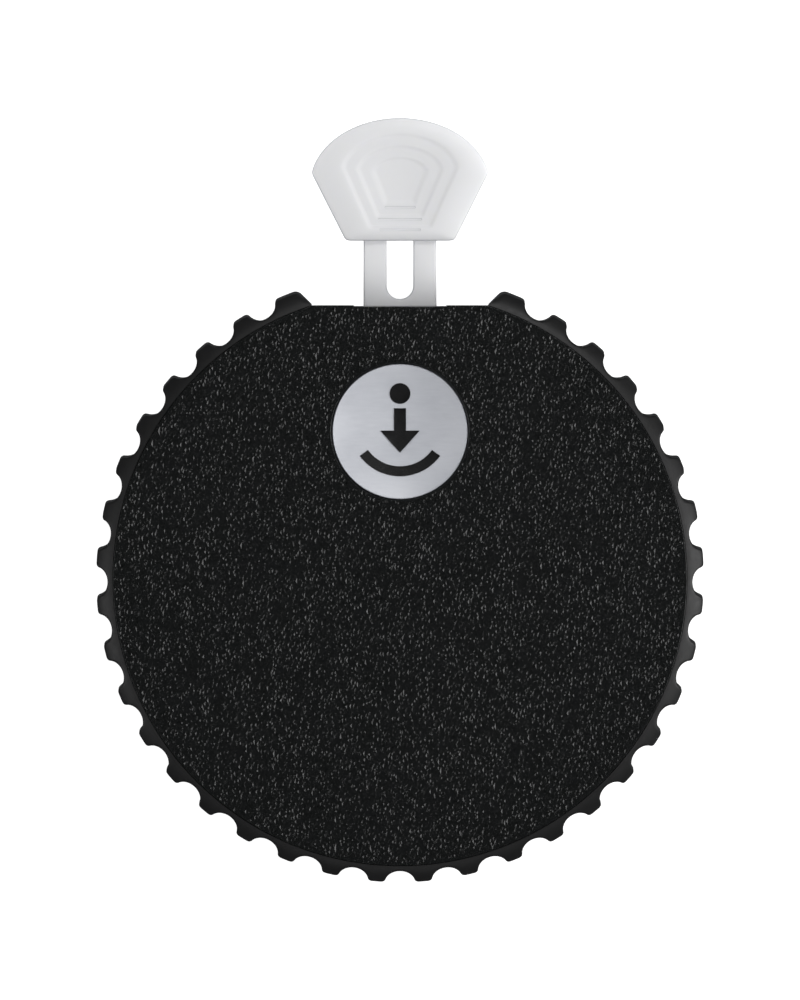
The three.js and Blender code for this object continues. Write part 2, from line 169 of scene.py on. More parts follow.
class Shape:
    """Vertices and faces of one piece, gathered from simple surfaces."""

    def __init__(self):
        self.verts = []
        self.faces = []

    def add(self, verts, faces):
        start = len(self.verts)
        self.verts += [tuple(v) for v in verts]
        self.faces += [[start + i for i in face] for face in faces]

    def rows(self, rows, closed=False):
        """A skin over loops of equal length; closed joins the last loop to the first."""
        count = len(rows[0])
        verts = [point for row in rows for point in row]
        faces = []
        for k in range(len(rows) if closed else len(rows) - 1):
            here, there = k * count, (k + 1) % len(rows) * count
            for i in range(count):
                after = (i + 1) % count
                faces.append((here + i, here + after, there + after, there + i))
        self.add(verts, faces)

    def cap(self, loop):
        self.add(loop, [tuple(range(len(loop)))])

    def lathe(self, profile, steps=96, x=0.0, y=0.0):
        """A profile of (radius, z) turned about an upright axis; radius 0 at an end closes it there."""
        closed = profile[0] == profile[-1]
        rings = profile[:-1] if closed else profile
        rings = [(r, z) for r, z in rings if r > 0]
        rows = [
            [(x + r * math.cos(TAU * i / steps), y + r * math.sin(TAU * i / steps), z) for i in range(steps)]
            for r, z in rings
        ]
        self.rows(rows, closed=closed)
        for (r, z), row in ((profile[0], rows[0]), (profile[-1], rows[-1])):
            if r == 0:
                self.cap([(px, py, z) for px, py, _ in row])

    def block(self, x, y, z, edge=0.15):
        """A box with small chamfers, given by its three ranges."""
        (x0, x1), (y0, y1), (z0, z1) = sorted(x), sorted(y), sorted(z)

        def loop(less, z_at):
            a, b, c, d = x0 + less, x1 - less, y0 + less, y1 - less
            return [
                (a + edge, c, z_at), (b - edge, c, z_at), (b, c + edge, z_at), (b, d - edge, z_at),
                (b - edge, d, z_at), (a + edge, d, z_at), (a, d - edge, z_at), (a, c + edge, z_at),
            ]

        loops = [loop(edge, z0), loop(0, z0 + edge), loop(0, z1 - edge), loop(edge, z1)]
        self.rows(loops)
        self.cap(loops[0])
        self.cap(loops[-1])

    def piece(self, name, body, slot, smooth_deg=SMOOTH_DEG, replaces=()):
        """The shape as a piece of the object, riding on a CAD body."""
        mesh = raw_mesh(name, self)
        mesh.validate()
        return adopt(name, mesh, body, smooth_deg, replaces)


def arc(cx, cy, r, start, end, steps):
    """Points along an arc, both ends included; angles in radians."""
    turns = [start + (end - start) * i / steps for i in range(steps + 1)]
    return [(cx + r * math.cos(t), cy + r * math.sin(t)) for t in turns]


def inset(loop, distance):
    """A closed anticlockwise loop moved inwards by a small distance, point by point."""
    moved = []
    count = len(loop)
    for i in range(count):
        before, here, after = loop[i - 1], loop[i], loop[(i + 1) % count]
        a = Vector((here[0] - before[0], here[1] - before[1])).normalized()
        b = Vector((after[0] - here[0], after[1] - here[1])).normalized()
        bisector = Vector((-(a.y + b.y), a.x + b.x))
        scale = distance / max(0.3, bisector.length / 2)
        bisector.normalize()
        moved.append((here[0] + bisector.x * scale, here[1] + bisector.y * scale))
    return moved


def at_height(loop, z):
    return [(x, y, z) for x, y in loop]


def loose_object(name, shape):
    """A working object in the scene that isn't a piece yet."""
    mesh = raw_mesh(name, shape)
    bm = bmesh.new()
    bm.from_mesh(mesh)
    join_surfaces(bm)
    bm.to_mesh(mesh)
    bm.free()
    made = bpy.data.objects.new(name, mesh)
    bpy.context.scene.collection.objects.link(made)
    return made


def cut(piece, shape, operation="DIFFERENCE"):
    """Cuts a shape out of a piece's mesh, or joins it on, with an exact boolean."""
    tool = loose_object("cutter", shape)
    step = piece.modifiers.new("cut", "BOOLEAN")
    step.object = tool
    step.operation = operation
    step.solver = "EXACT"
    bpy.context.view_layer.update()
    evaluated = piece.evaluated_get(bpy.context.evaluated_depsgraph_get())
    result = bpy.data.meshes.new_from_object(evaluated)
    piece.modifiers.clear()
    piece.data = result
    bpy.data.objects.remove(tool)


# ---- covers ----
def cover_outline(radius, set_back=0.0):
    """Anticlockwise outline of a cover: round, cut straight across by the flat at +Y."""
    flat_y = FLAT_Y - set_back
    start = math.asin(flat_y / radius)
    half = radius * math.cos(start)
    steps = 40
    flat = [(half - 2 * half * i / steps, flat_y) for i in range(1, steps)]
    return arc(0, 0, radius, math.pi - start, start + TAU, 420) + flat


def grain_pimples(inside):
    """The moulded grain: uneven three-sided pimples, longer one way, as (corners, apex, height)."""
    chance = random.Random(7)
    count = int(2 * COVER_R / GRAIN) + 2
    pimples = []
    for row in range(count):
        for column in range(count):
            x = (column - count / 2 + chance.uniform(-0.5, 0.5)) * GRAIN
            y = (row - count / 2 + chance.uniform(-0.5, 0.5)) * GRAIN
            width = chance.uniform(0.7, 1.3) * GRAIN_WIDTH
            length = width * (0.55 + min(chance.expovariate(2.2), 1.3))
            turn = chance.gauss(-0.3, 0.3)
            height = GRAIN_RISE * min(1.3, max(0.15, chance.gauss(0.75, 0.3)))
            along = Vector((-math.sin(turn), math.cos(turn)))
            across = Vector((along.y, -along.x))
            middle = Vector((x, y))
            if inside(x, y, length):
                corners = [middle + along * length, middle - across * width, middle - along * length]
                pimples.append((corners, middle - across * (0.65 * width), height))
    return pimples


def texture_face(piece, hole_y, hole_r):
    """Replaces a cover's flat top by a face with the grain moulded into it."""
    bm = bmesh.new()
    bm.from_mesh(piece.data)
    top = [f for f in bm.faces if f.normal.z > 0.99 and f.calc_center_median().z > (FACE_Z - 0.02) * MM]
    bmesh.ops.delete(bm, geom=top, context="FACES")
    border = [e for e in bm.edges if e.is_boundary]
    rim = sorted({v for e in border for v in e.verts}, key=lambda v: v.index)
    place = {v: i for i, v in enumerate(rim)}
    points = [Vector((v.co.x / MM, v.co.y / MM)) for v in rim]
    heights = [None] * len(rim)
    links = [(place[e.verts[0]], place[e.verts[1]]) for e in border]
    at_flat, at_rim, at_hole = GRAIN_MARGINS

    def inside(x, y, length):
        """Whether a pimple of this length keeps off the edges of the face."""
        reach = 0.8 * length
        if y > FLAT_Y - at_flat - reach or math.hypot(x, y) > COVER_R - at_rim - reach:
            return False
        return math.hypot(x, y - hole_y) > hole_r + at_hole + reach

    for corners, apex, height in grain_pimples(inside):
        first = len(points)
        points += corners + [apex]
        heights += [0.0] * 3 + [height]
        links += [(first + i, first + (i + 1) % 3) for i in range(3)]
    flat, _, triangles, origins, *_ = delaunay_2d_cdt(points, links, [], 1, 1e-6)
    made = []
    for co, sources in zip(flat, origins):
        if sources and min(sources) < len(rim):
            made.append(rim[min(sources)])
            continue
        rise = max(heights[i] for i in sources) if sources else 0.0
        made.append(bm.verts.new(Vector((co.x, co.y, FACE_Z + rise)) * MM))
    for a, b, c in triangles:
        middle = (flat[a] + flat[b] + flat[c]) / 3
        if math.hypot(middle.x, middle.y - hole_y) < hole_r - 0.02:
            continue
        try:
            bm.faces.new((made[a], made[b], made[c]))
        except ValueError:
            continue
    bmesh.ops.recalc_face_normals(bm, faces=bm.faces)
    bm.to_mesh(piece.data)
    bm.free()


def facet_grain(piece):
    """Shades the grain flat, so that each little facet catches the light by itself."""
    for polygon in piece.data.polygons:
        if polygon.center.z > (FACE_Z - 0.12) * MM and polygon.normal.z > 0.3:
            polygon.use_smooth = False
    return piece


def shell_walls(outline, seam, inner, z_open, z_outer, z_inner, edge):
    """A cup-shaped shell: outer wall from its seam outline, rounded outer corner, and the cavity inside."""
    way = 1 if z_outer > z_open else -1
    rows = [at_height(inner, z_inner), at_height(inner, z_open), at_height(seam, z_open)]
    for i in range(5):
        turn = math.pi / 2 * i / 4
        level = z_outer - way * edge * (1 - math.sin(turn))
        rows.append(at_height(inset(outline, edge * (1 - math.cos(turn))), level))
    shape = Shape()
    shape.rows(rows)
    shape.cap(rows[0])
    shape.cap(rows[-1])
    return shape


def mouth_cutter():
    """The opening in the flat that the tab's neck slides through."""
    shape = Shape()
    shape.block((-MOUTH_HALF, MOUTH_HALF), (30, 37), MOUTH_Z, edge=0.12)
    return shape


def relief_cutter():
    """The shallow step over the mouth, up to the face."""
    shape = Shape()
    deep = (FLAT_Y - RELIEF_DEPTH, FLAT_Y + 2)
    tall = (MOUTH_Z[1] + RELIEF_ABOVE, FACE_Z + 1)
    shape.block((-RELIEF_HALF, RELIEF_HALF), deep, tall, edge=0.05)
    return shape


def inner_outline():
    """The cavity of a cover, as many points as the outline has."""
    outline = cover_outline(COVER_R)
    wall = FLAT_Y - FLAT_WALL
    inner = []
    for x, y in outline:
        scale = min(WALL_R / math.hypot(x, y), wall / y if y > 0 else math.inf)
        inner.append((x * scale, y * scale))
    return inner


def upper_shell():
    outline = cover_outline(COVER_R)
    low = SPLIT_Z + SEAM
    seam = cover_outline(COVER_R, SEAM_SET_BACK)
    work = loose_object("work", shell_walls(outline, seam, inner_outline(), low, FACE_Z, ROOF_Z, 0.08))
    cut(work, mouth_cutter())
    cut(work, relief_cutter())
    hole = Shape()
    hole.lathe([
        (0, ROOF_Z - 1), (PAD_HOLE_R, ROOF_Z - 1), (PAD_HOLE_R, FACE_Z - 0.22),
        (PAD_HOLE_R + 0.06, FACE_Z - 0.1), (PAD_HOLE_R + 0.2, FACE_Z), (PAD_HOLE_R + 1.2, FACE_Z + 1),
        (0, FACE_Z + 1),
    ], 180, 0, PAD_Y)
    cut(work, hole)
    texture_face(work, PAD_Y, PAD_HOLE_R + 0.2)
    inside = Shape()
    for x, y in screw_places("case_screw"):  # bosses for the threaded inserts
        inside.lathe([(2.2, 16.2), (2.2, 10.4), (3.2, 10.4), (3.4, 10.6), (3.4, ROOF_Z + 0.2)], 48, x, y)
    for x, y in screw_places("deck_screw"):  # bosses for the deck's screws
        inside.lathe([(1.1, 17.6), (1.1, 15.7), (2.3, 15.7), (2.4, 15.8), (2.4, ROOF_Z + 0.2)], 40, x, y)
    for side in (-1, 1):  # ribs on both sides of the pad's key
        inside.block((side * 1.5, side * 2.5), (PAD_Y + 10.1, PAD_Y + 11.2), (15.9, ROOF_Z + 0.1))
    return facet_grain(joined("upper_shell", work, inside, "housing", ["top_cover"]))


def lower_shell():
    outline = cover_outline(COVER_R - 0.2, LOWER_SET_BACK)
    high = SPLIT_Z - SEAM
    work = loose_object("work", shell_walls(outline, outline, inner_outline(), high, UNDER_Z, FLOOR_Z, 0.9))
    cut(work, mouth_cutter())
    recess = Shape()
    foot_r = cad("foot_pad")[1].x + 0.25
    recess.lathe([(0, -1), (foot_r + 0.15, -1), (foot_r + 0.15, UNDER_Z), (foot_r, UNDER_Z + 0.15),
                  (foot_r, 1.5), (0, 1.5)], 180)
    cut(work, recess)
    for x, y in screw_places("case_screw"):
        bore = Shape()
        bore.lathe([(0, 0), (2.8, 0), (2.8, 3.6), (1.5, 3.6), (1.5, 5), (0, 5)], 40, x, y)
        cut(work, bore)
    inside = Shape()
    for x, y in screw_places("case_screw"):
        post = [(1.5, 4.2), (1.5, high), (3.6, high), (3.8, high - 0.2), (3.8, ROOT_Z)]
        inside.lathe(post, 48, x, y)
    for side in (-1, 1):
        rail_seat(inside, side)
        inside.block((side * 5.2, side * 9.2), (28.6, 32.2), (ROOT_Z, 7.9))  # under the stop bumper
    return joined("lower_shell", work, inside, "housing", ["bottom_cover"])


def rail_seat(shape, side):
    """Shelf, outer rib and two end ribs that hold one guide rail."""
    low, high = cad("guide_rail_right")
    rib, gap = 1.2, 0.2
    back, front = low.y - rib, high.y + rib
    x = (side * low.x, side * 15.4)
    tall = (ROOT_Z, 12.8)
    shape.block(x, (back, front), (ROOT_Z, low.z - gap))
    shape.block((side * (high.x + gap), x[1]), (back, high.y), tall)
    shape.block(x, (back, low.y - gap), tall)
    shape.block((x[0], side * 14.6), (high.y + gap, front), tall)


def screw_places(prefix):
    """Middles of the four screws of one kind, read from the frame."""
    places = []
    for i in range(1, 5):
        low, high = cad(f"{prefix}_{i}")
        places.append(((low.x + high.x) / 2, (low.y + high.y) / 2))
    return places


def joined(name, work, shape, body, replaces):
    """A worked object's mesh and a shape's surfaces as one piece."""
    bm = bmesh.new()
    bm.from_mesh(work.data)
    bm.from_mesh(raw_mesh("extra", shape))
    mesh = bpy.data.meshes.new(name)
    bm.to_mesh(mesh)
    bm.free()
    bpy.data.objects.remove(work)
    return adopt(name, mesh, body, replaces=replaces)


# ---- grip band ----
def toward(radius, turn):
    """Point at a radius, turned clockwise from +Y."""
    return radius * math.sin(turn), radius * math.cos(turn)


def notch_profile():
    """Half of one notch and its rounded corner, as (turn from the notch's middle, radius)."""
    centre = TIP_R - NOTCH_DEPTH + NOTCH_R
    inner = TIP_R - TOOTH_ROUND
    reach = NOTCH_R + TOOTH_ROUND
    tangent = math.acos((inner * inner + centre * centre - reach * reach) / (2 * inner * centre))
    corner = (inner * math.sin(tangent), inner * math.cos(tangent))
    lean = math.atan2(corner[0], centre - corner[1])
    points = [(NOTCH_R * math.sin(lean * i / 8), centre - NOTCH_R * math.cos(lean * i / 8)) for i in range(9)]
    back = math.atan2(centre - corner[1], -corner[0])
    steps = 5
    for i in range(1, steps + 1):
        turn = back + (math.pi / 2 - tangent - back) * i / steps
        points.append((corner[0] + TOOTH_ROUND * math.cos(turn), corner[1] + TOOTH_ROUND * math.sin(turn)))
    return [(math.atan2(x, y), math.hypot(x, y)) for x, y in points], tangent


def band_stations():
    """Along the C: (inner point, outer point on the full round, share of the way the outline reaches)."""
    half, tangent = notch_profile()
    pitch = TAU / PITCHES
    span = TIP_R - BAND_R
    stations = []
    for n in range(MISSING + 1, PITCHES - MISSING):
        middle = n * pitch + NOTCH_DRIFT / TIP_R * math.sin(n * pitch)
        for turn, radius in [(-t, r) for t, r in reversed(half)] + half[1:]:
            at = middle + turn
            stations.append((toward(BAND_R, at), toward(TIP_R, at), (radius - BAND_R) / span))
        if n < PITCHES - MISSING - 1:
            for share in (0.35, 0.65):
                turn = middle + tangent + (pitch - 2 * tangent) * share
                stations.append((toward(BAND_R, turn), toward(TIP_R, turn), 1.0))
    first = end_stations(math.atan2(*stations[0][0]))
    last = [((-a[0], a[1]), (-b[0], b[1]), share) for a, b, share in reversed(first)]
    return first + stations + last


def end_stations(tooth_turn):
    """The end tooth beside the flat, from its 45 degree flank round the peak to the first notch."""
    gap = 0.12
    reach = FLAT_HALF + gap - FLAT_Y  # the flank is the line x - y = reach
    inner = TIP_R - PEAK_ROUND
    shift = reach + PEAK_ROUND * math.sqrt(2)
    y = (-shift + math.sqrt(2 * inner * inner - shift * shift)) / 2
    centre = (y + shift, y)
    peak_turn = math.atan2(*centre)
    foot_y = (-reach + math.sqrt(2 * BAND_R * BAND_R - reach * reach)) / 2
    foot_turn = math.atan2(foot_y + reach, foot_y)
    steps = 8
    stations = []
    for i in range(steps + 1):
        turn = -math.pi / 4 + (peak_turn + math.pi / 4) * i / steps
        outer = (centre[0] + PEAK_ROUND * math.sin(turn), centre[1] + PEAK_ROUND * math.cos(turn))
        stations.append((toward(BAND_R, foot_turn + (peak_turn - foot_turn) * i / steps), outer, 1.0))
    for i in range(1, 4):
        turn = peak_turn + (tooth_turn - peak_turn) * i / 4
        stations.append((toward(BAND_R, turn), toward(TIP_R, turn), 1.0))
    return stations


def band_section():
    """Section of the band as (share of the way out, z), from the bottom inside round to the top inside."""
    section = [(0.0, BAND_LOW)]
    steps = 9
    for i in range(steps + 1):
        turn = math.pi / 2 * i / steps
        section.append((math.sin(turn), BAND_LOW + FOOT_ROUND * (1 - math.cos(turn))))
    section += [(1.0, SPLIT_Z - 3), (1.0, SPLIT_Z + 3)]
    section += [(share, BAND_HIGH - drop) for share, drop in reversed(shoulder())]
    rib = -RIB_DEPTH / (TIP_R - BAND_R)
    rib_low, rib_high = SPLIT_Z - RIB_HALF, SPLIT_Z + RIB_HALF
    section += [(0.0, BAND_HIGH - 0.1), (0.0, rib_high), (rib, rib_high), (rib, rib_low), (0.0, rib_low),
                (0.0, BAND_LOW + 0.1)]
    return section


def shoulder():
    """The shoulder from its inner edge out as (share, drop): a gently curved slope, then a tight round."""
    angles = [math.radians(SLOPES[0] + (SLOPES[1] - SLOPES[0]) * i / 8) for i in range(9)]
    start, end = angles[0], angles[-1]
    slope = SLOPE_SHARE / (math.sin(end) - math.sin(start))
    points = []
    for a in angles:
        points.append((slope * (math.sin(a) - math.sin(start)), slope * (math.cos(start) - math.cos(a))))
    share, drop = points[-1]
    tight = (1 - share) / (1 - math.sin(end))
    for i in range(1, 6):
        a = end + (math.pi / 2 - end) * i / 5
        out, down = math.sin(a) - math.sin(end), math.cos(end) - math.cos(a)
        points.append((share + tight * out, drop + tight * down))
    return [(share, drop * (TIP_R - BAND_R) * SLOPE_STRETCH) for share, drop in points]


def soft_least(a, b, blend=0.09):
    """The smaller of two numbers, with the corner between them rounded."""
    h = max(blend - abs(a - b), 0.0) / blend
    return min(a, b) - h * h * blend / 4


def grip_band():
    section = band_section()
    span = TIP_R - BAND_R
    floor = 1 - NOTCH_DEPTH / span
    rows = []
    for inner, outer, reach in band_stations():
        tooth = (reach - floor) / (1 - floor)
        row = []
        for share, z in section:
            s = share
            if share > 0:
                height = (z - BAND_LOW) / (BAND_HIGH - BAND_LOW)
                tip = -TIP_DRAFT * height / span
                notch = NOTCH_DRAFT * height / span
                s = soft_least(share * (1 + tip), reach + tip * tooth + notch * (1 - tooth))
            row.append((inner[0] + (outer[0] - inner[0]) * s, inner[1] + (outer[1] - inner[1]) * s, z))
        rows.append(row)
    shape = Shape()
    shape.rows(rows)
    shape.cap(rows[0])
    shape.cap(rows[-1])
    return shape.piece("scalloped_band", "housing", "grip_black", 38, ["grip_band"])


# ---- pull tab ----
def fan_loop(bottom, half, corner_y, corner_half, top):
    """Anticlockwise fan outline: straight bottom, straight sides, elliptical top, corners eased."""
    # the ellipse is centred a little below the corners, in proportion to the width
    centre = corner_y - 1.6 * (corner_half / 11.15)
    rise = top - centre
    wide = corner_half / math.sqrt(1 - ((corner_y - centre) / rise) ** 2)
    start = math.asin((corner_y - centre) / rise)
    base, side, crown = 24, 26, 44  # steps along each stretch
    loop = [(-half + 2 * half * i / base, bottom) for i in range(base)]
    loop += [(half + (corner_half - half) * i / side, bottom + (corner_y - bottom) * i / side)
             for i in range(side)]
    for i in range(crown):
        turn = start + (math.pi - 2 * start) * i / crown
        loop.append((wide * math.cos(turn), centre + rise * math.sin(turn)))
    loop += [(-corner_half + (corner_half - half) * i / side, corner_y + (bottom - corner_y) * i / side)
             for i in range(side)]
    return [
        tuple((loop[i - 1][k] + 2 * loop[i][k] + loop[(i + 1) % len(loop)][k]) / 4 for k in (0, 1))
        for i in range(len(loop))
    ]


def blend_loops(a, b, share):
    return [(p[0] + (q[0] - p[0]) * share, p[1] + (q[1] - p[1]) * share) for p, q in zip(a, b)]


# fan outlines: bottom, half of it, height of the corners, half width there, top
OUTER_FAN = (HEAD_Y, 6.8, 50.72, 11.12, 57.6)
TERRACES = (
    (43.6, 4.0, 51.5, 7.6, 55.9), (44.9, 3.0, 51.25, 5.75, 54.4), (46.4, 2.05, 51.0, 3.85, 52.9),
)
RECESS_MIDDLE = (48.5, 0.9, 50.8, 1.8, 51.6)
GROOVE_HALVES = (2.6, 2.75, 1.95)  # of the short groove at the foot of each terrace
BROW_TURN = math.radians(68)  # how far the head's upper edge is rounded


def pull_tab():
    head = Shape()
    rows = head_rows()
    head.rows(rows)
    head.cap(rows[0])
    head.cap(rows[-1])
    work = loose_object("work", head)
    cut(work, neck_shape(), "UNION")
    cut(work, slot_cutter())
    for step, (half, terrace) in enumerate(zip(GROOVE_HALVES, TERRACES)):
        groove = Shape()
        floor = HEAD_Z[1] - STEP * step - 0.12
        groove.block((-half, half), (terrace[0] - 0.16, terrace[0] + 0.12), (floor, 14), edge=0.06)
        cut(work, groove)
    return joined("white_tab", work, carrier_shape(), "slider", ["pull_tab"])


def head_rows():
    """The thumb head from its underside up: eased edge, side, crown, and the stepped recess."""
    outer, plateau = fan_loop(*OUTER_FAN), fan_loop(*TERRACES[0])
    low, high = HEAD_Z
    shoulder_z, edge = high - CROWN, 0.3
    rows = [at_height(inset(outer, 2.0), low)]

    def eased(turn):
        """The outline and the depth on the round of an edge; 0 is the side."""
        return inset(outer, edge * (1 - math.cos(turn))), edge * (1 - math.sin(turn))

    for i in range(5, -1, -1):
        loop, depth = eased(math.pi / 2 * i / 5)
        rows.append(at_height(loop, low + depth))
    for i in range(6):
        loop, depth = eased(BROW_TURN * i / 5)
        rows.append(at_height(loop, shoulder_z - depth))
    brow, depth = eased(BROW_TURN)
    start = shoulder_z - depth
    for i in range(1, 9):
        share = i / 8
        level = start + (high - start) * math.sin(math.pi / 2 * share)
        rows.append(at_height(blend_loops(brow, plateau, share), level))
    level = high
    for number, terrace in enumerate(TERRACES):
        here = fan_loop(*terrace)
        following = fan_loop(*(TERRACES + (RECESS_MIDDLE,))[number + 1])
        for i in range(1, 7):
            drop = STEP * (1 - math.cos(math.pi * i / 6)) / 2
            rows.append(at_height(blend_loops(here, following, 0.5 * i / 6), level - drop))
        level -= STEP
        if terrace is not TERRACES[-1]:
            rows.append(at_height(blend_loops(here, following, 0.95), level))
    return rows


def neck_shape():
    shape = Shape()
    shape.block((-NECK_HALF, NECK_HALF), (28.3, HEAD_Y + 1.6), NECK_Z, edge=0.18)
    return shape


def slot_cutter():
    """A round-ended slot through the neck, with its edges eased."""
    centre = SLOT_END_Y + SLOT_HALF
    top = HEAD_Y - 0.02

    def outline(grow):
        r = SLOT_HALF + grow
        return arc(0, centre, r, math.pi, TAU, 28) + [(r, top), (-r, top)]

    low, high = NECK_Z
    rows = [at_height(outline(grow), z) for grow, z in (
        (0.35, low - 0.2), (0.15, low), (0, low + 0.15), (0, high - 0.15), (0.15, high), (0.35, high + 0.2),
    )]
    shape = Shape()
    shape.rows(rows)
    shape.cap(rows[0])
    shape.cap(rows[-1])
    return shape


def carrier_shape():
    """The part of the tab inside the housing: ring, shoulder plate and notched runners."""
    cup_r = cad("steel_cup")[1].x + 0.2
    shape = Shape()
    shape.lathe([
        (7.0, 4.4), (10.3, 4.4), (10.5, 4.6), (10.5, 13.3), (10.3, 13.5), (cup_r + 0.2, 13.5), (cup_r, 13.3),
        (cup_r, 5.2), (7.0, 5.2), (7.0, 4.4),
    ], 120, 0, PAD_Y)
    for side in (-1, 1):
        shape.block((side * 4.0, side * 9.5), (PAD_Y + 8.2, 28.75), NECK_Z)
        shape.block((side * 9.2, side * 12.05), (10.0, 25.8), (8.9, 11.1))
        for low, high in ((10.0, 15.0), (17.8, 22.8)):
            shape.block((side * 11.9, side * 12.6), (low, high), (8.9, 11.1))
        shape.block((side * 11.9, side * 12.6), (25.2, 25.8), (8.9, 11.1), edge=0.1)
    shape.block((-4.3, 4.3), (PAD_Y + 9.6, 29.0), (8.52, 11.48), edge=0.1)
    return shape


# ---- pad ----
def dish_z(r):
    """Height of the pad's dished surface at a distance from its middle."""
    return PAD_TOP - 0.05 - DISH_DEPTH * (1 - (r / DISH_R) ** 2)


def dished_pad():
    low, flange = cad("nest_pad")[0].z, 17.8
    ease = 0.15
    profile = [(0, low), (FLANGE_R - ease, low), (FLANGE_R, low + ease), (FLANGE_R, flange - ease),
               (FLANGE_R - ease, flange), (PAD_R, flange)]
    lip = PAD_R - DISH_R
    for i in range(0, 9):
        turn = math.radians(105) * i / 8
        profile.append((DISH_R + lip * math.cos(turn), PAD_TOP - lip * (1 - math.sin(turn))))
    inner = profile[-1][0] - 0.05
    profile += [(inner * (1 - i / 30), dish_z(inner * (1 - i / 30))) for i in range(0, 30)]
    profile.append((0, dish_z(0)))
    shape = Shape()
    shape.lathe(profile, 200, 0, PAD_Y)
    shape.block((-1.2, 1.2), (PAD_Y + 9.2, PAD_Y + 10.9), (low, flange))  # the key that stops it turning
    return shape.piece("dished_pad", "pad", "white_pad", replaces=["nest_pad"])


def inlay(shape, outline, thick=0.06):
    """A flat mark laid into the dish, following its curve; outline is about the pad's middle."""
    points = [Vector(p) for p in outline]
    count = len(points)
    links = [(i, (i + 1) % count) for i in range(count)]
    xs, ys = [p.x for p in points], [p.y for p in points]
    pitch = 0.45
    x = min(xs)
    while x < max(xs):
        y = min(ys)
        while y < max(ys):
            points.append(Vector((x, y)))
            y += pitch
        x += pitch
    flat, _, triangles, *_ = delaunay_2d_cdt(points, links, [], 1, 1e-6)
    used = sorted({i for triangle in triangles for i in triangle})
    place = {i: k for k, i in enumerate(used)}
    top = [(flat[i].x, flat[i].y + PAD_Y, dish_z(flat[i].length) + thick) for i in used]
    shape.add(top, [tuple(place[i] for i in triangle) for triangle in triangles])
    loop = [(p.x, p.y + PAD_Y, dish_z(p.length)) for p in points[:count]]
    shape.rows([[(x, y, z - 0.05) for x, y, z in loop], [(x, y, z + thick) for x, y, z in loop]])


def pad_symbol():
    """Plain generic mark: a round tag over a down arrow and a cradle."""
    shape = Shape()
    inlay(shape, arc(0, 4.75, 1.3, 0, TAU * 31 / 32, 31))
    arrow = [(-0.75, 2.9), (-0.75, 0.1), (-2.45, 0.1), (0, -2.65), (2.45, 0.1), (0.75, 0.1), (0.75, 2.9)]
    inlay(shape, arrow)
    outer = arc(0, 0.6, 6.2, math.radians(216), math.radians(324), 28)
    inner = arc(0, 0.6, 4.95, math.radians(324), math.radians(216), 28)
    inlay(shape, outer + inner)
    return shape.piece("pad_symbol", "pad", "textured_black")


# ---- spring under the pad ----
def wave_washer():
    """A flat strip bent into a ring with three waves."""
    low, high = cad("wave_spring")[0].z, cad("wave_spring")[1].z
    inner, outer, thick, edge = 8.0, 9.4, 0.3, 0.06
    half = thick / 2
    section = [(inner + edge, -half), (outer - edge, -half), (outer, edge - half), (outer, half - edge),
               (outer - edge, half), (inner + edge, half), (inner, half - edge), (inner, edge - half)]
    steps = 144
    rows = []
    for i in range(steps):
        turn = TAU * i / steps
        level = (low + high) / 2 + (high - low - thick) / 2 * math.cos(3 * turn)
        rows.append([(r * math.cos(turn), PAD_Y + r * math.sin(turn), level + rise) for r, rise in section])
    shape = Shape()
    shape.rows(rows, closed=True)
    washer = shape.piece("wave_washer", "housing", "spring_steel", 30, ["wave_spring"])
    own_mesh(washer)
    return washer


# ---- foot ----
def ribbed_foot():
    """Anti-slip pad with rings moulded into its sole; the plain middle is the resting face."""
    low, high = cad("foot_pad")[0].z, cad("foot_pad")[1].z
    radius = cad("foot_pad")[1].x
    profile = [(0, low), (7.0, low)]
    r = 7.0
    while r < radius - 2.4:
        profile += [(r + 0.15, low + 0.3), (r + 0.75, low + 0.3), (r + 0.9, low), (r + 1.9, low)]
        r += 1.9
    profile += [(radius - 0.5, low), (radius - 0.15, low + 0.12), (radius, low + 0.4), (radius, high),
                (0, high)]
    shape = Shape()
    shape.lathe(profile, 180)
    return shape.piece("ribbed_foot", "housing", "rubber", replaces=["foot_pad"])


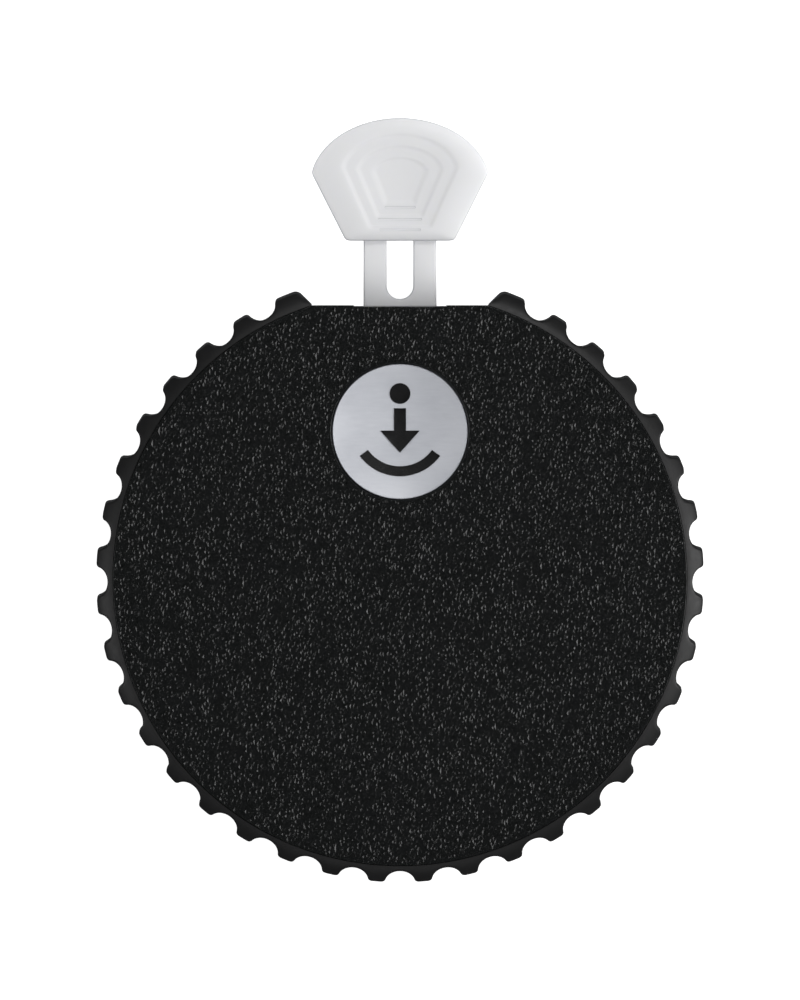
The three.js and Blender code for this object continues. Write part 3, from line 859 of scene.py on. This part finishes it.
# ---- materials ----
class Look:
    """A node material on one Principled shader, in object coordinates scaled to millimetres."""

    def __init__(self, name, **values):
        self.material = bpy.data.materials.new(name)
        self.material.use_nodes = True
        self.tree = self.material.node_tree
        self.shader = self.tree.nodes["Principled BSDF"]
        for socket, value in values.items():
            self.shader.inputs[socket.replace("_", " ")].default_value = value
        place = self.node("ShaderNodeTexCoord")
        self.space = self.node("ShaderNodeMapping")
        self.space.inputs["Scale"].default_value = (1 / MM,) * 3
        self.link(place.outputs["Object"], self.space.inputs["Vector"])

    def node(self, kind, **settings):
        made = self.tree.nodes.new(kind)
        for key, value in settings.items():
            setattr(made, key, value)
        return made

    def link(self, a, b):
        self.tree.links.new(a, b)

    def noise(self, per_mm, detail=2.0, rough=0.5, stretch=(1, 1, 1)):
        space = self.space
        if stretch != (1, 1, 1):
            space = self.node("ShaderNodeMapping")
            space.inputs["Scale"].default_value = stretch
            self.link(self.space.outputs[0], space.inputs["Vector"])
        made = self.node("ShaderNodeTexNoise")
        made.inputs["Scale"].default_value = per_mm
        made.inputs["Detail"].default_value = detail
        made.inputs["Roughness"].default_value = rough
        self.link(space.outputs[0], made.inputs["Vector"])
        return made.outputs["Fac"]

    def ramp(self, source, *stops):
        """Colour or grey values along a 0..1 source."""
        made = self.node("ShaderNodeValToRGB")
        elements = made.color_ramp.elements
        while len(elements) < len(stops):
            elements.new(0.5)
        for element, (at, value) in zip(elements, stops):
            element.position = at
            element.color = (*value, 1) if isinstance(value, tuple) else (value, value, value, 1)
        self.link(source, made.inputs["Fac"])
        return made.outputs["Color"]

    def mix(self, share, a, b):
        made = self.node("ShaderNodeMix", data_type="FLOAT")
        made.inputs["Factor"].default_value = share
        self.link(a, made.inputs[2])
        self.link(b, made.inputs[3])
        return made.outputs[0]

    def upward(self):
        """How much the surface faces +Z or -Z, from 0 on a side to 1 on a face."""
        place = self.node("ShaderNodeTexCoord")
        parts = self.node("ShaderNodeSeparateXYZ")
        self.link(place.outputs["Normal"], parts.inputs[0])
        made = self.node("ShaderNodeMath", operation="ABSOLUTE")
        self.link(parts.outputs["Z"], made.inputs[0])
        return made.outputs[0]

    def product(self, a, b):
        made = self.node("ShaderNodeMix", data_type="RGBA", blend_type="MULTIPLY")
        made.inputs["Factor"].default_value = 1.0
        self.link(a, made.inputs[6])
        self.link(b, made.inputs[7])
        return made.outputs[2]

    def colour(self, source, *stops):
        self.link(self.ramp(source, *stops), self.shader.inputs["Base Color"])

    def rough(self, source, low, high):
        self.link(self.ramp(source, (0.25, low), (0.75, high)), self.shader.inputs["Roughness"])

    def bump(self, source, depth_mm, strength):
        made = self.node("ShaderNodeBump")
        made.inputs["Strength"].default_value = strength
        made.inputs["Distance"].default_value = depth_mm * MM
        self.link(source, made.inputs["Height"])
        self.link(made.outputs["Normal"], self.shader.inputs["Normal"])


def textured_black():
    look = Look("textured_black", Specular_IOR_Level=0.45)
    look.colour(look.noise(0.9, 3.0), (0.3, (0.0020, 0.0026, 0.0023)), (0.7, (0.0042, 0.0048, 0.0050)))
    look.rough(look.noise(2.6, 2.0), 0.15, 0.25)
    look.bump(look.noise(7.0, 3.0, 0.6), 0.05, 0.8)
    return look.material


def satin_black(name, low, high, rough_low, rough_high, grain=6.0, depth=0.006, specular=0.5):
    look = Look(name, Specular_IOR_Level=specular)
    look.colour(look.noise(0.25, 3.0), (0.3, (low,) * 3), (0.7, (high, high, high * 1.04)))
    look.rough(look.noise(1.4, 3.0), rough_low, rough_high)
    look.bump(look.noise(grain, 2.0), depth, 0.6)
    return look.material


def milky_white():
    """White plastic with painted shade: its sides are painted greyer than its upward faces, to darken the
    tab's edges.
    """
    look = Look("milky_white", Subsurface_Weight=0.6, Subsurface_Radius=(1.0, 1.0, 1.05),
                Subsurface_Scale=0.002, Specular_IOR_Level=0.25)
    cloud = look.ramp(look.noise(0.12, 3.0), (0.3, (0.935, 0.94, 0.97)), (0.7, (0.96, 0.965, 0.99)))
    # painted shade: the base colour darkens where the surface faces sideways, so the tab's edges read as a
    # darker outline
    painted_side_shade = look.ramp(look.upward(), (0.55, (0.62, 0.62, 0.63)), (0.97, (1.0, 1.0, 1.0)))
    look.link(look.product(cloud, painted_side_shade), look.shader.inputs["Base Color"])
    look.rough(look.noise(0.9, 2.0), 0.42, 0.54)
    look.bump(look.noise(5.0, 2.0), 0.004, 0.5)
    return look.material


def frosted_pad():
    look = Look("frosted_pad", Specular_IOR_Level=0.5)
    streaks = look.noise(0.8, 4.0, 0.6, (0.5, 3.0, 1))
    cloud = look.noise(0.16, 3.0)
    look.colour(look.mix(0.35, cloud, streaks), (0.3, (0.555, 0.57, 0.615)), (0.7, (0.68, 0.695, 0.74)))
    look.rough(streaks, 0.28, 0.42)
    look.bump(look.noise(6.0, 3.0), 0.006, 0.5)
    return look.material


def metal(name, low, high, rough_low, rough_high, stretch=(1, 1, 1)):
    look = Look(name, Metallic=1.0)
    look.colour(look.noise(0.6, 4.0, 0.6, stretch), (0.3, low), (0.7, high))
    look.rough(look.noise(1.6, 3.0, 0.6, stretch), rough_low, rough_high)
    look.bump(look.noise(4.0, 3.0, 0.6, stretch), 0.004, 0.4)
    return look.material


def acetal():
    look = Look("acetal", Subsurface_Weight=0.2, Subsurface_Scale=0.001)
    look.colour(look.noise(0.2, 3.0), (0.3, (0.66, 0.63, 0.55)), (0.7, (0.74, 0.71, 0.63)))
    look.rough(look.noise(2.0, 2.0), 0.38, 0.5)
    look.bump(look.noise(3.0, 3.0, 0.5, (1, 0.2, 1)), 0.006, 0.4)
    return look.material


def rubber():
    look = Look("rubber", Specular_IOR_Level=0.35)
    look.colour(look.noise(1.1, 4.0), (0.3, (0.014,) * 3), (0.7, (0.026, 0.026, 0.027)))
    look.rough(look.noise(2.0, 3.0), 0.62, 0.82)
    look.bump(look.noise(4.0, 4.0), 0.012, 0.6)
    return look.material


def dress(materials):
    """Gives every CAD node its material and smooth shading, and the hardware small rounded edges."""
    for entry in frame["record"]["subparts"]:
        node = frame["nodes"][entry["node"]]
        node.data.materials.clear()
        node.data.materials.append(materials[entry["material_slot"]])
        bm = bmesh.new()
        bm.from_mesh(node.data)
        smooth_by_angle(bm, SMOOTH_DEG)
        bm.to_mesh(node.data)
        bm.free()
        if entry["material_slot"] in ("steel", "brass", "nickel", "acetal"):
            step = node.modifiers.new("eased_edges", "BEVEL")
            step.width = 0.06 * MM
            step.segments = 2
            step.limit_method = "ANGLE"
            step.angle_limit = math.radians(40)
            step.harden_normals = True


def floor_and_lights():
    """Plain pale floor and soft studio light, strongest from the right."""
    bm = bmesh.new()
    bmesh.ops.create_grid(bm, x_segments=8, y_segments=8, size=1.6)
    mesh = bpy.data.meshes.new("floor")
    bm.to_mesh(mesh)
    bm.free()
    floor = bpy.data.objects.new("floor", mesh)
    bpy.context.scene.collection.objects.link(floor)
    look = Look("pale_floor", Specular_IOR_Level=0.1)
    look.colour(look.noise(0.01, 2.0), (0.3, (0.60, 0.60, 0.60)), (0.7, (0.64, 0.64, 0.64)))
    look.rough(look.noise(0.05, 2.0), 0.85, 0.95)
    look.shader.inputs["Emission Color"].default_value = (1, 1, 1, 1)
    look.shader.inputs["Emission Strength"].default_value = 0.97
    mesh.materials.append(look.material)
    floor.visible_glossy = False  # its white doesn't shine in the sides of the teeth
    lamp("right_panel", (0.60, -0.02, 0.34), (0.30, 0.70), 3.4)
    lamp("left_panel", (-0.60, -0.10, 0.40), (0.26, 0.60), 1.15)
    lamp("back_panel", (0.10, 0.53, 0.68), (0.50, 0.24), 2.25)
    lamp("front_panel", (0.0, -0.55, 0.60), (0.50, 0.20), 0.4)
    world = bpy.data.worlds.new("studio")
    bpy.context.scene.world = world
    world.use_nodes = True
    tree = world.node_tree
    background = tree.nodes["Background"]
    background.inputs["Color"].default_value = (0.96, 0.98, 1.0, 1)
    # beyond the floor the surroundings look as pale as it does, but give the object little light
    path = tree.nodes.new("ShaderNodeLightPath")
    strength = tree.nodes.new("ShaderNodeMath")
    strength.operation = "MULTIPLY_ADD"
    tree.links.new(path.outputs["Is Camera Ray"], strength.inputs[0])
    strength.inputs[1].default_value = 1.0  # more where the camera sees it
    strength.inputs[2].default_value = 0.10  # what falls on the object
    tree.links.new(strength.outputs[0], background.inputs["Strength"])


def lamp(name, place, size, power):
    data = bpy.data.lights.new(name, "AREA")
    data.shape = "RECTANGLE"
    data.size, data.size_y = size
    data.energy = power
    made = bpy.data.objects.new(name, data)
    made.location = place
    middle = Vector((0, 0.008, 0.01))  # roughly the object's
    aim = middle - Vector(place)
    made.rotation_euler = aim.to_track_quat("-Z", "Y").to_euler()
    bpy.context.scene.collection.objects.link(made)


def camera():
    """Down on the face from far off, leaning a degree from the tab's side; the tab is at the top."""
    data = bpy.data.cameras.new("camera")
    distance = 3.0
    frame_height = 0.125  # what the picture's height shows, at the face
    middle_y = 0.00985  # of the tab and the rim together
    lean = math.radians(1.0)
    data.sensor_width = 36.0
    data.lens = data.sensor_width * distance / frame_height
    data.clip_start = 0.01
    made = bpy.data.objects.new("camera", data)
    made.location = (0, middle_y + distance * math.sin(lean), FACE_Z * MM + distance * math.cos(lean))
    made.rotation_euler = (-lean, 0, 0)
    bpy.context.scene.collection.objects.link(made)
    bpy.context.scene.camera = made


# ---- assembly ----
MATERIALS = {
    "textured_black": textured_black(),
    "black_plastic": satin_black("black_plastic", 0.012, 0.017, 0.42, 0.55),
    "grip_black": satin_black("grip_black", 0.0075, 0.0105, 0.38, 0.48, 5.0, 0.005, 0.33),
    "milky_white": milky_white(),
    "white_pad": frosted_pad(),
    "steel": metal("steel", (0.50, 0.51, 0.53), (0.62, 0.63, 0.65), 0.25, 0.4, (1, 6, 1)),
    "nickel": metal("nickel", (0.60, 0.59, 0.57), (0.72, 0.71, 0.69), 0.12, 0.24),
    "spring_steel": metal("spring_steel", (0.42, 0.44, 0.47), (0.55, 0.57, 0.6), 0.2, 0.3, (3, 1, 1)),
    "brass": metal("brass", (0.66, 0.46, 0.18), (0.78, 0.57, 0.26), 0.22, 0.36),
    "acetal": acetal(),
    "rubber": rubber(),
}
dress(MATERIALS)
symbol_ink = satin_black("symbol_ink", 0.003, 0.010, 0.35, 0.6, 5.0, 0.06, 0.2)
for build, look in (
    (upper_shell, MATERIALS["textured_black"]),
    (lower_shell, MATERIALS["black_plastic"]),
    (grip_band, MATERIALS["grip_black"]),
    (pull_tab, MATERIALS["milky_white"]),
    (dished_pad, MATERIALS["white_pad"]),
    (pad_symbol, symbol_ink),
    (wave_washer, MATERIALS["spring_steel"]),
    (ribbed_foot, MATERIALS["rubber"]),
):
    made = build()
    made.data.materials.clear()
    made.data.materials.append(look)

floor_and_lights()
camera()
bpy.context.scene.view_settings.view_transform = "Standard"
